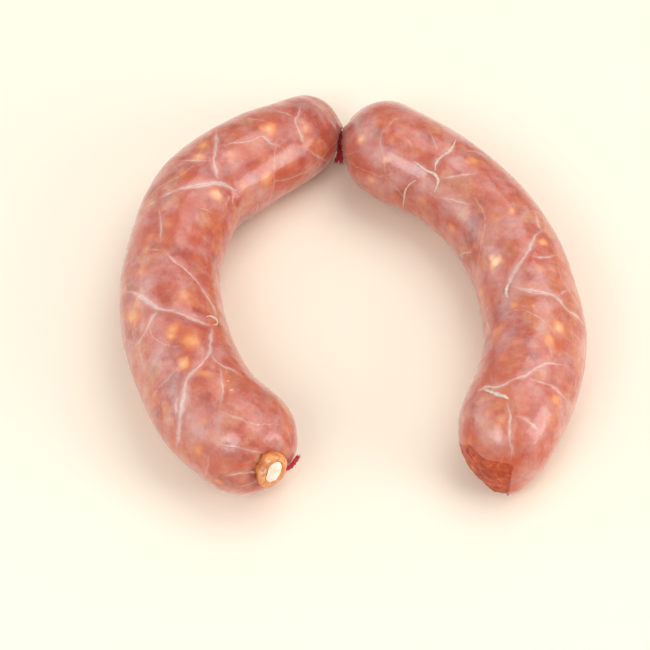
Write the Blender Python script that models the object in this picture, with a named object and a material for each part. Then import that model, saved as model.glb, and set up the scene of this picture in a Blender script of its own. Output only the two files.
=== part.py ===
# A string of two fresh sausage links, lying bent into an open ring: +X right, +Y away, +Z up.
# The left link is uncut, so it is one solid, from the tied neck to the stub at its free end.
# The right link's casing is torn open at its free end: a shell, with the filling inside it.

import bmesh
import bpy
from bmesh.types import BMVert
from math import asin, cos, pi, radians, sin, sqrt
from mathutils import Matrix, Vector, noise
from mathutils.geometry import intersect_point_line

MM = 0.001

# Stations along each link, in millimetres: x, y and the link's radius there. Each link lies on
# the plane z = 0. PLAN_MIDDLE is the middle of the string's outer box in the stations' plan.
PLAN_MIDDLE = (10.78, -3.86)
LEFT_STATIONS = (
    (-14.2, 76.6, 14.8), (-18.4, 69.4, 17.2), (-36.8, 54.3, 19.4), (-55.0, 34.5, 19.5),
    (-62.0, 5.0, 19.5), (-61.0, -19.5, 20.5), (-54.5, -42.0, 21.0), (-42.5, -64.5, 21.5),
    (-28.5, -77.0, 21.5))
RIGHT_STATIONS = (
    (12.6, 73.9, 10.9), (19.7, 70.2, 17.9), (24.3, 64.0, 19.9), (42.7, 55.1, 19.0),
    (62.0, 37.5, 19.0), (74.0, 17.5, 19.5), (80.5, -3.0, 20.0), (83.5, -23.5, 20.5),
    (80.5, -44.0, 20.5), (74.0, -64.0, 19.5), (74.5, -75.0, 10.5))
AXIS_HEIGHT = 0.95      # height of a link's axis over its radius: it settles on a flat strip
LUMP_DEPTH = 0.35       # coarse mince pressing against the casing
LUMP_LENGTH = 26.0
FIT = 0.3               # gap kept between pieces that touch

# The ties: a turn of red string round the gathered casing, with a knot and two tails.
STRING = 1.9
NECK_RADIUS = 1.6
NECK_DENT = (1.3, 7.5)      # how far a tie is drawn into the link's end, and the dent's radius
ROOT = 2.0                  # how deep a neck starts inside its link
STUB_NECK_RADIUS = 2.2
STUB_DENT = (3.6, 12.5)
KNOT_RADIUS = 1.6
KNOT_FLATNESS = 0.6

# The gathered stub at the left link's free end, and the lump of fat that shows in its cut.
STUB_DIRECTION = (0.554, -0.769, 0.318)
STUB_RADIUS = 6.4
STUB_OVAL = 0.14            # wider across than up by this share
STUB_DEPTH = 2.4
STUB_ROOM = STRING + 4 * FIT
FAT_RADIUS = 3.4
FAT_DEPTH = 1.6
FAT_BULGE = 0.5

# The right link's casing and the piece torn out of it: TORN_PROFILE is the upper edge of the
# tear as x and z, seen from the front, and TORN_BACK is how far back the tear reaches in y.
CASING = 0.6
TORN_PROFILE = ((45.0, 14.0), (55.3, 17.5), (58.3, 24.3), (60.3, 25.6), (63.4, 25.0),
                (66.2, 25.3), (70.1, 26.2), (75.8, 26.0))
TORN_BACK = -70.0
TORN_FRONT = -100.0
TORN_BOTTOM = -5.0
SWELL_START = 1.5           # the bare filling swells out this far inside the tear's edge
SWELL_WIDTH = 4.0           # and reaches the casing's level in this distance
CRUMB_DEPTH = 0.6           # roughness of the bare filling
CRUMB_LENGTH = 4.0

# Facets
COLUMNS = 24
BODY_ROWS = 38
CAP_ROWS = 8


def plan_point(x, y, z):
    return Vector((x - PLAN_MIDDLE[0], y - PLAN_MIDDLE[1], z))


def string_of_balls(stations, steps=24):
    # Catmull-Rom curve through the stations, as centres and radii of balls on the plane.
    points = [Vector((x, y, AXIS_HEIGHT * r, r)) for x, y, r in stations]
    points = [2 * points[0] - points[1]] + points + [2 * points[-1] - points[-2]]
    curve = []
    for a, b, c, d in zip(points, points[1:], points[2:], points[3:]):
        for step in range(steps):
            u = step / steps
            curve.append(0.5 * (2 * b + (c - a) * u + (2 * a - 5 * b + 4 * c - d) * u ** 2
                                + (3 * b - a - 3 * c + d) * u ** 3))
    curve.append(points[-2])
    return [(plan_point(*p[:3]), p[3]) for p in curve]


class Tie:
    # A tie at a link's end: the ball that it closes, its direction and the dent it makes.

    def __init__(self, ball, way, dent):
        self.centre, self.size = ball
        self.way = way
        self.depth, self.width = dent
        self.base = self.centre + way * (self.size - self.depth)

    def closeness(self, point):
        # 1 at the middle of the dent, 0 from its rim on.
        along = (point - self.centre).dot(self.way)
        aside = (point - self.centre - along * self.way).length / self.width
        return (1 - aside ** 2) ** 2 if along > 0 and aside < 1 else 0.0


class Link:
    # A link as rings round its axis: the envelope of the balls, with a round cap at each end.

    def __init__(self, stations):
        self.balls = string_of_balls(stations)
        self.ties = []
        self.reach = [0.0]
        for (a, _), (b, _) in zip(self.balls, self.balls[1:]):
            self.reach.append(self.reach[-1] + (b - a).length)
        self.length = self.reach[-1]
        self.shares = self.even_shares()

    def tie(self, end, way, dent):
        self.ties.append(Tie(self.balls[-end], way, dent))
        return self.ties[-1]

    def even_shares(self, samples=240):
        # Where the body's rings go, so that they lie evenly over the surface.
        fine = [self.body_ring(k / samples, 0.0) for k in range(samples + 1)]
        walked = [0.0]
        for (a, _, ra), (b, _, rb) in zip(fine, fine[1:]):
            walked.append(walked[-1] + sqrt((b - a).length_squared + (rb - ra) ** 2))
        shares = []
        for row in range(BODY_ROWS + 1):
            target = walked[-1] * row / BODY_ROWS
            k = min(sum(1 for w in walked if w < target), samples)
            shares.append(k / samples)
        return shares

    def ball(self, s):
        s = min(max(s, 0.0), self.length)
        k = 1
        while k < len(self.reach) - 1 and self.reach[k] < s:
            k += 1
        u = (s - self.reach[k - 1]) / (self.reach[k] - self.reach[k - 1])
        (a, ra), (b, rb) = self.balls[k - 1], self.balls[k]
        return a.lerp(b, u), ra + (rb - ra) * u

    def nearest(self, point):
        # The point of the axis nearest to a point, among the balls.
        return min((centre for centre, _ in self.balls), key=lambda c: (c - point).length)

    def course(self, s, window=7.0):
        # Direction and taper, averaged over a short stretch.
        a, ra = self.ball(s - window)
        b, rb = self.ball(s + window)
        return (b - a).normalized(), (rb - ra) / (b - a).length

    def body_ring(self, share, inset):
        s = share * self.length
        centre, radius = self.ball(s)
        direction, taper = self.course(s)
        radius -= inset
        return centre - direction * radius * taper, direction, radius * sqrt(1 - taper ** 2)

    def cap_rings(self, end, inset):
        # From the body's last ring outward to the tip.
        sign = 1 if end else -1
        centre, radius = self.ball(self.length * end)
        direction, taper = self.course(self.length * end)
        first = asin(-sign * taper)
        rings = []
        for row in range(1, CAP_ROWS + 1):
            polar = first + (pi / 2 - first) * row / CAP_ROWS
            along = sign * (radius - inset) * sin(polar)
            rings.append((centre + direction * along, direction, (radius - inset) * cos(polar)))
        return rings

    def rings(self, inset):
        body = [self.body_ring(share, inset) for share in self.shares]
        return self.cap_rings(0, inset)[::-1] + body + self.cap_rings(1, inset)

    def skin_point(self, ring, angle, inset):
        # On the surface, with its lumps, its dents and the flat strip that it lies on.
        closeness = [tie.closeness(ring_point(ring, angle)) for tie in self.ties]
        point = ring_point(ring, angle, lump(ring, angle) * (1 - max(closeness)))
        for tie, near in zip(self.ties, closeness):
            point -= tie.way * tie.depth * near
        point.z = max(point.z, inset)
        return point


def lump(ring, angle):
    # Slow lumps all over, which fade out where a ring is small.
    centre, _, radius = ring
    turn = 2 * pi * (centre.x + centre.y) / LUMP_LENGTH
    waves = (0.5 * sin(turn + 2 * angle) + 0.3 * sin(1.7 * turn - 3 * angle + 1.3)
             + 0.2 * sin(2.9 * turn + angle + 4.0))
    return LUMP_DEPTH * waves * min(1.0, radius / 15.0)


def ring_point(ring, angle, rise=0.0, oval=0.0, reference=(0, 0, 1)):
    centre, axis, radius = ring
    side = axis.cross(Vector(reference)).normalized()
    up = side.cross(axis)
    reach = radius + rise
    return centre + reach * ((1 + oval) * cos(angle) * side + (1 - oval) * sin(angle) * up)


def wrap(bm, rows, columns, place):
    # A sheet rolled round and welded: place(row, angle) gives each point in millimetres.
    made = bmesh.ops.create_grid(bm, x_segments=rows, y_segments=columns, size=1.0)["verts"]
    for vert in made:
        row = round((vert.co.x + 1) / 2 * rows)
        column = round((vert.co.y + 1) / 2 * columns) % columns
        vert.co = place(row, 2 * pi * column / columns) * MM
    bmesh.ops.remove_doubles(bm, verts=made, dist=1e-6)
    bmesh.ops.triangulate(bm, faces=bm.faces, quad_method="FIXED")


def make_object(name, bm, surface, smooth_angle=50):
    bmesh.ops.recalc_face_normals(bm, faces=bm.faces)
    mesh = bpy.data.meshes.new(name)
    bm.to_mesh(mesh)
    bm.free()
    mesh.shade_smooth()
    mesh.set_sharp_from_angle(angle=radians(smooth_angle))
    mesh.materials.append(surface)
    made = bpy.data.objects.new(name, mesh)
    bpy.context.collection.objects.link(made)
    return made


def combine(name, pieces, operation, surface):
    # One Boolean joins the first piece with all the others, or cuts them from it.
    others = bpy.data.collections.new(name + "_others")
    for piece in pieces[1:]:
        others.objects.link(piece)
    boolean = pieces[0].modifiers.new("boolean", "BOOLEAN")
    boolean.operation = operation
    boolean.operand_type = "COLLECTION"
    boolean.collection = others
    result = pieces[0].evaluated_get(bpy.context.evaluated_depsgraph_get())
    bm = bmesh.new()
    bm.from_mesh(result.to_mesh())
    result.to_mesh_clear()
    for piece in pieces:
        bpy.data.objects.remove(piece)
    bpy.data.collections.remove(others)
    return make_object(name, bm, surface)


def material(name, colour, roughness):
    made = bpy.data.materials.new(name)
    made.use_nodes = True
    shader = made.node_tree.nodes["Principled BSDF"]
    shader.inputs["Base Color"].default_value = (*colour, 1)
    shader.inputs["Roughness"].default_value = roughness
    shader.inputs["Metallic"].default_value = 0.0
    return made


def lathe(name, base, way, steps, columns, surface, oval=0.0):
    # A round piece on a line from the base: the steps are distances along it and radii.
    rings = [(base + way * along, way, radius) for along, radius in steps]
    bm = bmesh.new()
    wrap(bm, len(rings) - 1, columns, lambda row, angle: ring_point(rings[row], angle, oval=oval))
    return make_object(name, bm, surface)


def make_skin(name, link, inset, surface):
    rings = link.rings(inset)
    bm = bmesh.new()
    wrap(bm, len(rings) - 1, COLUMNS,
         lambda row, angle: link.skin_point(rings[row], angle, inset))
    return make_object(name, bm, surface)


def make_neck(tie, radius, length, surface):
    # The twisted casing inside the turn of string.
    steps = [(-ROOT, 0.0), (-ROOT, radius), (length, radius), (length, 0.0)]
    return lathe("neck", tie.base, tie.way, steps, 16, surface)


def make_stub(tie, surface):
    # The gathered casing beyond the last tie, cut off, with a socket for the fat.
    rim = STUB_ROOM + STUB_DEPTH
    steps = [(STUB_ROOM, 0.0), (STUB_ROOM, 3.0), (STUB_ROOM + 0.3, STUB_RADIUS - 0.8),
             (STUB_ROOM + 1.1, STUB_RADIUS), (rim - 0.5, STUB_RADIUS - 0.1),
             (rim, STUB_RADIUS - 0.9), (rim, FAT_RADIUS + FIT),
             (rim - FAT_DEPTH, FAT_RADIUS + FIT), (rim - FAT_DEPTH, 0.0)]
    return lathe("stub", tie.base, tie.way, steps, 22, surface, STUB_OVAL)


def make_stub_fat(tie, surface):
    # The plug of white fat in the stub's cut face, a little proud of it.
    rim = STUB_ROOM + STUB_DEPTH
    floor = rim - FAT_DEPTH + FIT
    steps = [(floor, 0.0), (floor, FAT_RADIUS), (rim, FAT_RADIUS),
             (rim + 0.7 * FAT_BULGE, 0.6 * FAT_RADIUS), (rim + FAT_BULGE, 0.0)]
    return lathe("stub_fat", tie.base, tie.way, steps, 14, surface, STUB_OVAL)


def make_tear(surface):
    # The block that the torn-out piece of casing filled.
    profile = [(TORN_PROFILE[0][0], TORN_BOTTOM), *TORN_PROFILE,
               (TORN_PROFILE[-1][0], TORN_BOTTOM)]
    bm = bmesh.new()
    corners = [bm.verts.new(plan_point(x, TORN_BACK, z) * MM) for x, z in profile]
    face = bm.faces.new(corners)
    moved = bmesh.ops.extrude_face_region(bm, geom=[face])["geom"]
    shift = Vector((0, (TORN_FRONT - TORN_BACK) * MM, 0))
    bmesh.ops.translate(bm, vec=shift, verts=[g for g in moved if isinstance(g, BMVert)])
    return make_object("tear", bm, surface)


def make_right_casing(link, neck, surface):
    # The outer skin and the neck, opened by the tear and then hollowed out.
    outer = make_skin("outer", link, 0.0, surface)
    closed = combine("closed", [outer, neck], "UNION", surface)
    opened = combine("opened", [closed, make_tear(surface)], "DIFFERENCE", surface)
    lining = make_skin("lining", link, CASING, surface)
    return combine("casing_right", [opened, lining], "DIFFERENCE", surface)


def bareness(point):
    # How deep inside the tear a point lies, in millimetres, and 0 or less outside it.
    x, y = point.x + PLAN_MIDDLE[0], point.y + PLAN_MIDDLE[1]
    here = Vector((x, 0, point.z))
    depth = min(TORN_BACK - y, x - TORN_PROFILE[0][0], TORN_PROFILE[-1][0] - x)
    for (xa, za), (xb, zb) in zip(TORN_PROFILE, TORN_PROFILE[1:]):
        if xa <= x <= xb and point.z > za + (zb - za) * (x - xa) / (xb - xa):
            return 0.0
        start, stop = Vector((xa, 0, za)), Vector((xb, 0, zb))
        share = min(1.0, max(0.0, intersect_point_line(here, start, stop)[1]))
        depth = min(depth, (start.lerp(stop, share) - here).length)
    return depth


def make_right_filling(link, surface):
    # The filling, which swells out and is rough where the casing is torn away.
    inset = CASING + FIT
    rings = link.rings(inset)

    def place(row, angle):
        point = link.skin_point(rings[row], angle, inset)
        bare = min(1.0, max(0.0, (bareness(point) - SWELL_START) / SWELL_WIDTH))
        crumb = noise.noise(point / CRUMB_LENGTH) * CRUMB_DEPTH
        point += (point - link.nearest(point)).normalized() * bare * (inset + crumb)
        point.z = max(point.z, inset * (1 - bare))
        return point

    bm = bmesh.new()
    wrap(bm, len(rings) - 1, COLUMNS, place)
    return make_object("filling_right", bm, surface)


def make_turn(centre, axis, radius, surface, rows=20, sides=8):
    # One turn of string, as a closed ring.
    side = axis.cross(Vector((0, 0, 1))).normalized()
    up = side.cross(axis)

    def place(row, angle):
        around = 2 * pi * row / rows
        out = cos(around) * side + sin(around) * up
        return centre + out * radius + STRING / 2 * (cos(angle) * out + sin(angle) * axis)

    bm = bmesh.new()
    wrap(bm, rows, sides, place)
    return make_object("turn", bm, surface)


def make_tail(points, axis, surface, sides=8):
    # A cut end of string along a bent line.
    rings = []
    for k, point in enumerate(points):
        before = points[max(k - 1, 0)]
        after = points[min(k + 1, len(points) - 1)]
        rings.append((point, (after - before).normalized(), STRING / 2))
    closed = [(*rings[0][:2], 0.0)] + rings + [(*rings[-1][:2], 0.0)]
    bm = bmesh.new()
    wrap(bm, len(closed) - 1, sides,
         lambda row, angle: ring_point(closed[row], angle, reference=axis))
    return make_object("tail", bm, surface)


def make_knot(centre, axis, surface):
    turn = Vector((0, 0, 1)).rotation_difference(axis).to_matrix().to_4x4()
    shape = Matrix.Translation(centre * MM) @ turn @ Matrix.Diagonal((1, 1, KNOT_FLATNESS, 1))
    bm = bmesh.new()
    bmesh.ops.create_uvsphere(bm, u_segments=10, v_segments=6, radius=KNOT_RADIUS * MM,
                              matrix=shape)
    return make_object("knot", bm, surface)


def make_tie(name, centre, axis, neck, knot_angle, tails, surface):
    # A turn round the neck, fused with the knot and its two tails, which are given as points
    # from the tie's centre.
    pieces = [make_turn(centre, axis, neck + FIT + STRING / 2, surface)]
    middle = ring_point((centre, axis, neck + FIT + KNOT_RADIUS), radians(knot_angle))
    pieces.append(make_knot(middle, axis, surface))
    for tail in tails:
        points = [middle] + [centre + Vector(point) for point in tail]
        pieces.append(make_tail(points, axis, surface))
    return combine(name, pieces, "UNION", surface)


def main():
    for old in list(bpy.data.objects):
        bpy.data.objects.remove(old)

    casing_red = material("fresh sausage in casing", (0.42, 0.09, 0.06), 0.3)
    casing_clear = material("torn casing", (0.48, 0.13, 0.10), 0.3)
    mince = material("bare sausage meat", (0.40, 0.06, 0.02), 0.5)
    white_fat = material("white fat", (0.85, 0.72, 0.62), 0.45)
    red_string = material("red cotton string", (0.50, 0.02, 0.03), 0.8)

    # The ties: one between the two links' nearest ends, one at the left link's free end.
    left, right = Link(LEFT_STATIONS), Link(RIGHT_STATIONS)
    across = (right.balls[0][0] - left.balls[0][0]).normalized()
    left_tie = left.tie(0, across, NECK_DENT)
    right_tie = right.tie(0, -across, NECK_DENT)
    last_tie = left.tie(1, Vector(STUB_DIRECTION).normalized(), STUB_DENT)
    neck_length = ((right_tie.base - left_tie.base).length - FIT) / 2

    left_pieces = [make_skin("body", left, 0.0, casing_red),
                   make_neck(left_tie, NECK_RADIUS, neck_length, casing_red),
                   make_neck(last_tie, STUB_NECK_RADIUS, STUB_ROOM + 0.3, casing_red),
                   make_stub(last_tie, casing_red)]
    combine("link_left", left_pieces, "UNION", casing_red)
    make_stub_fat(last_tie, white_fat)
    right_neck = make_neck(right_tie, NECK_RADIUS, neck_length, casing_clear)
    make_right_casing(right, right_neck, casing_clear)
    make_right_filling(right, mince)

    neck_middle = (left_tie.base + right_tie.base) / 2
    make_tie("string_neck", neck_middle, across, NECK_RADIUS, -40,
             (((-0.4, -4.8, -4.6), (-1.4, -7.2, -6.6)), ((0.6, -5.2, -4.0), (0.9, -8.2, -5.4))),
             red_string)
    stub_middle = last_tie.base + last_tie.way * (STUB_ROOM - FIT - STRING / 2)
    make_tie("string_stub", stub_middle, last_tie.way, STUB_NECK_RADIUS, 214,
             (((7.9, 2.7, -4.4), (11.3, 9.4, -6.6)), ((6.4, 0.4, -6.0), (7.0, 0.4, -8.6))),
             red_string)


main()
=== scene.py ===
# Two fresh sausage links tied with red string, lying in an open ring on a pale top.
import random
from itertools import accumulate
from math import asin, atan2, cos, exp, pi, radians, sin, sqrt

import bmesh
import bpy
from mathutils import Matrix, Vector, noise
from mathutils.bvhtree import BVHTree
from mathutils.geometry import intersect_point_line
from mathutils.kdtree import KDTree


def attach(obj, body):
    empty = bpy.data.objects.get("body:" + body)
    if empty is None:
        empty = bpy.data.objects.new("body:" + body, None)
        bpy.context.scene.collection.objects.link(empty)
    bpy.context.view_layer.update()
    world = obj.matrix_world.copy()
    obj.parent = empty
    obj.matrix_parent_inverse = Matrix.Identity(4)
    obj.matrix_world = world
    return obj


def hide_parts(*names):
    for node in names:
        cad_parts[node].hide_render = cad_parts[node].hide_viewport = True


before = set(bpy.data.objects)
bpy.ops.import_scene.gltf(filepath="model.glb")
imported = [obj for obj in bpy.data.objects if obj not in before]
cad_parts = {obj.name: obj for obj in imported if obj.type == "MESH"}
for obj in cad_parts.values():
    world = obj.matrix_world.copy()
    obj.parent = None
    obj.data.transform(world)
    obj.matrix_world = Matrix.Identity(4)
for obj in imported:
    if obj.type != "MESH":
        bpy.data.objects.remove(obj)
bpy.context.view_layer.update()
mm = 0.001
noise.seed_set(3)           # noise_vector's offsets come from it

# The photograph's frame is 650 pixels square; lengths are in millimetres.
shot = {
    "frame": 650,
    "focalPixels": 3000.0,
    "elevation": 57.3,
    "roll": 4.13,
    "distance": 1209.5,
    "aim": (-10.6, -5.34, 0.0),
}


def makeCamera():
    tilt, roll = radians(shot["elevation"]), radians(shot["roll"])
    back = Vector((0, -cos(tilt), sin(tilt)))
    level = Vector((1, 0, 0))
    right = cos(roll) * level + sin(roll) * back.cross(level)
    up = back.cross(right)
    data = bpy.data.cameras.new("camera")
    data.sensor_width = 36.0
    data.lens = 36.0 * shot["focalPixels"] / shot["frame"]
    data.clip_end = 10.0
    camera = bpy.data.objects.new("camera", data)
    place = Matrix((right, up, back)).transposed().to_4x4()
    place.translation = (Vector(shot["aim"]) + shot["distance"] * back) * mm
    camera.matrix_world = place
    bpy.context.collection.objects.link(camera)
    bpy.context.scene.camera = camera
    return place


cameraPlace = makeCamera()


def sightLine(pixel):
    # from the camera through a pixel of the photograph
    middle = shot["frame"] / 2
    aside, above = pixel[0] - middle, middle - pixel[1]
    way = cameraPlace.to_3x3() @ Vector((aside, above, -shot["focalPixels"]))
    return cameraPlace.translation, way.normalized()


def facesCamera(point, normal):
    return (cameraPlace.translation - point).normalized().dot(normal)


def linear(hexColour):
    # sRGB hex to a linear colour
    parts = [int(hexColour[k:k + 2], 16) / 255 for k in (1, 3, 5)]
    return (*(c / 12.92 if c <= 0.04045 else ((c + 0.055) / 1.055) ** 2.4 for c in parts), 1.0)


def clamped(value):
    return min(1.0, max(0.0, value))


# Shapes: a link is the envelope of balls along its stations (x, y and radius), and a tie draws
# a dent into its end. All but the depth of the lumps is as in the solids.

planMiddle = (10.78, -3.86)
leftLink = {
    "stations": [
        (-14.2, 76.6, 14.8), (-18.4, 69.4, 17.2), (-36.8, 54.3, 19.4), (-55.0, 34.5, 19.5),
        (-62.0, 5.0, 19.5), (-61.0, -19.5, 20.5), (-54.5, -42.0, 21.0), (-42.5, -64.5, 21.5),
        (-28.5, -77.0, 21.5)],
    "bodyRows": 216,
    "capRows": 28,
    "columns": 130,
}
rightLink = {
    "stations": [
        (12.6, 73.9, 10.9), (19.7, 70.2, 17.9), (24.3, 64.0, 19.9), (42.7, 55.1, 19.0),
        (62.0, 37.5, 19.0), (74.0, 17.5, 19.5), (80.5, -3.0, 20.0), (83.5, -23.5, 20.5),
        (80.5, -44.0, 20.5), (74.0, -64.0, 19.5), (74.5, -75.0, 10.5)],
    "bodyRows": 240,
    "capRows": 20,
    "columns": 130,
}
form = {
    "axisHeight": 0.95,     # over the radius: a link settles on a flat strip
    "lumpDepth": 0.12,      # flatter than the solids', so that highlights run on unbroken
    "lumpLength": 26.0,
    "casing": 0.6,
    "fit": 0.3,
    "string": 1.9,
    "neckRadius": 1.6,
    "neckDent": (1.3, 7.5),
    "stubNeckRadius": 2.2,
    "stubDent": (3.6, 12.5),
    "stubWay": (0.554, -0.769, 0.318),
}
form["stubRoom"] = form["string"] + 4 * form["fit"]


def lump(centre, angle, radius):
    turn = 2 * pi * (centre.x + centre.y) / form["lumpLength"]
    waves = (0.5 * sin(turn + 2 * angle) + 0.3 * sin(1.7 * turn - 3 * angle + 1.3)
             + 0.2 * sin(2.9 * turn + angle + 4.0))
    return form["lumpDepth"] * waves * min(1.0, radius / 15.0)


def ringPoint(ring, angle, rise=0.0):
    centre, axis, radius = ring
    side = axis.cross(Vector((0, 0, 1))).normalized()
    up = side.cross(axis)
    return centre + (radius + rise) * (cos(angle) * side + sin(angle) * up)


def curveThrough(points, countSteps):
    # a Catmull-Rom curve; countSteps(length) is how many steps lie between two points
    points = [2 * points[0] - points[1]] + points + [2 * points[-1] - points[-2]]
    curve = []
    for a, b, c, d in zip(points, points[1:], points[2:], points[3:]):
        count = countSteps((c - b).length)
        for step in range(count):
            u = step / count
            curve.append(0.5 * (2 * b + (c - a) * u + (2 * a - 5 * b + 4 * c - d) * u ** 2
                                + (3 * b - a - 3 * c + d) * u ** 3))
    curve.append(points[-2])
    return curve


def alongRings(rings):
    # how far each ring lies from the first, measured on the surface
    steps = (sqrt((b - a).length_squared + (rb - ra) ** 2)
             for (a, _, ra), (b, _, rb) in zip(rings, rings[1:]))
    return list(accumulate(steps, initial=0.0))


class Tie:
    def __init__(self, ball, way, dent):
        self.centre, self.size = ball
        self.way = way
        self.depth, self.width = dent
        self.base = self.centre + way * (self.size - self.depth)
        self.side = way.cross(Vector((0, 0, 1))).normalized()
        self.up = self.side.cross(way)

    def around(self, point):
        # distance from the tie's line, angle about it, and whether the point is in front
        off = point - self.centre
        x, y = off.dot(self.side), off.dot(self.up)
        return sqrt(x * x + y * y), atan2(y, x), off.dot(self.way) > 0

    def closeness(self, point):
        aside, _, front = self.around(point)
        share = aside / self.width
        return (1 - share ** 2) ** 2 if front and share < 1 else 0.0


class Link:
    def __init__(self, plan):
        self.plan = plan
        self.balls = self.ballChain(plan["stations"])
        self.ties = []
        steps = ((b - a).length for (a, _), (b, _) in zip(self.balls, self.balls[1:]))
        self.reach = list(accumulate(steps, initial=0.0))
        self.length = self.reach[-1]

    def ballChain(self, stations, steps=24):
        points = [Vector((x, y, form["axisHeight"] * r, r)) for x, y, r in stations]
        curve = curveThrough(points, lambda length: steps)
        middle = Vector((*planMiddle, 0))
        return [(p.to_3d() - middle, p[3]) for p in curve]

    def tie(self, end, way, dent):
        self.ties.append(Tie(self.balls[-end], way, dent))
        return self.ties[-1]

    def ball(self, s):
        s = min(max(s, 0.0), self.length)
        k = 1
        while k < len(self.reach) - 1 and self.reach[k] < s:
            k += 1
        u = (s - self.reach[k - 1]) / (self.reach[k] - self.reach[k - 1])
        (a, ra), (b, rb) = self.balls[k - 1], self.balls[k]
        return a.lerp(b, u), ra + (rb - ra) * u

    def course(self, s, window=7.0):
        a, ra = self.ball(s - window)
        b, rb = self.ball(s + window)
        return (b - a).normalized(), (rb - ra) / (b - a).length

    def bodyRing(self, share, inset):
        s = share * self.length
        centre, radius = self.ball(s)
        direction, taper = self.course(s)
        radius -= inset
        return centre - direction * radius * taper, direction, radius * sqrt(1 - taper ** 2)

    def capRings(self, end, inset, count):
        sign = 1 if end else -1
        centre, radius = self.ball(self.length * end)
        direction, taper = self.course(self.length * end)
        first = asin(-sign * taper)
        rings = []
        for row in range(1, count + 1):
            polar = first + (pi / 2 - first) * row / count
            along = sign * (radius - inset) * sin(polar)
            rings.append((centre + direction * along, direction, (radius - inset) * cos(polar)))
        return rings

    def evenShares(self, count, samples=400):
        fine = [self.bodyRing(k / samples, 0.0) for k in range(samples + 1)]
        walked = alongRings(fine)
        shares, k = [], 0
        for row in range(count + 1):
            target = walked[-1] * row / count
            while k < samples - 1 and walked[k + 1] < target:
                k += 1
            part = (target - walked[k]) / (walked[k + 1] - walked[k])
            shares.append((k + part) / samples)
        return shares

    def rings(self, inset, thin):
        # thin makes the mesh that many times coarser
        body = [self.bodyRing(s, inset) for s in self.evenShares(self.plan["bodyRows"] // thin)]
        caps = self.plan["capRows"] // thin
        return self.capRings(0, inset, caps)[::-1] + body + self.capRings(1, inset, caps)

    def skinPoint(self, ring, angle, inset):
        closeness = [tie.closeness(ringPoint(ring, angle)) for tie in self.ties]
        rise = lump(ring[0], angle, ring[2]) * (1 - max(closeness))
        point = ringPoint(ring, angle, rise)
        for tie, near in zip(self.ties, closeness):
            point -= tie.way * tie.depth * near
        point.z = max(point.z, inset)
        return point


left, right = Link(leftLink), Link(rightLink)
across = (right.balls[0][0] - left.balls[0][0]).normalized()
leftTie = left.tie(0, across, form["neckDent"])
rightTie = right.tie(0, -across, form["neckDent"])
stubTie = left.tie(1, Vector(form["stubWay"]).normalized(), form["stubDent"])


def rollSheet(bm, rows, columns, place, unrolled=None):
    # a grid rolled into a tube and welded; place(row, angle) gives each point in millimetres,
    # and unrolled(row, angle) where it would lie on a straight link, for patterns along it
    layer = bm.verts.layers.float_vector.new("straight") if unrolled else None
    made = bmesh.ops.create_grid(bm, x_segments=rows, y_segments=columns, size=1.0)["verts"]
    for vert in made:
        row = round((vert.co.x + 1) / 2 * rows)
        column = round((vert.co.y + 1) / 2 * columns) % columns
        angle = 2 * pi * column / columns
        vert.co = place(row, angle) * mm
        if layer:
            vert[layer] = unrolled(row, angle) * mm
    bmesh.ops.remove_doubles(bm, verts=made, dist=1e-6)


def rollLink(bm, link, inset=0.0, thin=1, columns=None):
    rings = link.rings(inset, thin)
    walked = alongRings(rings)

    def unrolled(row, angle):
        radius = rings[row][2]
        return Vector((radius * cos(angle), radius * sin(angle), walked[row]))

    rollSheet(bm, len(rings) - 1, columns or link.plan["columns"],
              lambda row, angle: link.skinPoint(rings[row], angle, inset), unrolled)
    bmesh.ops.recalc_face_normals(bm, faces=bm.faces)
    bm.normal_update()


def smoothLine(points, step):
    # a smooth line through points of any size, with a point at about each step
    return curveThrough([Vector(p) for p in points],
                        lambda length: max(1, round(length / step)))


def finishPiece(name, bm, surface, node):
    bmesh.ops.recalc_face_normals(bm, faces=bm.faces)
    mesh = bpy.data.meshes.new(name)
    bm.to_mesh(mesh)
    bm.free()
    mesh.shade_smooth()
    mesh.materials.append(surface)
    piece = bpy.data.objects.new(name, mesh)
    bpy.context.collection.objects.link(piece)
    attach(piece, "root")
    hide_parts(node)
    print("made", name, "with", len(mesh.polygons), "faces")


# Materials. Each tree is built with one function: sockets take a value or another node's output.

def addNode(tree, kind, sockets, stops=(), **settings):
    node = tree.nodes.new("ShaderNode" + kind)
    for key, value in settings.items():
        setattr(node, key, value)
    for key, value in sockets.items():
        if isinstance(value, bpy.types.NodeSocket):
            tree.links.new(value, node.inputs[key])
        else:
            node.inputs[key].default_value = value
    for k, (position, colour) in enumerate(stops):
        spots = node.color_ramp.elements
        spot = spots[k] if k < 2 else spots.new(position)
        spot.position = position
        spot.color = linear(colour)
    return node


def startMaterial(name):
    made = bpy.data.materials.new(name)
    made.use_nodes = True
    made.node_tree.nodes.clear()
    return made, made.node_tree


def endMaterial(tree, height, depth, shader, below=None):
    # the last bump, over the one below it, and the output; depth in millimetres
    sockets = {"Height": height, "Distance": depth * mm, "Strength": 1.0}
    if below:
        sockets["Normal"] = below
    bump = addNode(tree, "Bump", sockets)
    tree.links.new(bump.outputs["Normal"], shader.inputs["Normal"])
    addNode(tree, "OutputMaterial", {"Surface": shader.outputs[0]})


def perMetre(size):
    # a pattern's scale from the real size of its grain in millimetres
    return 1000.0 / size


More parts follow.
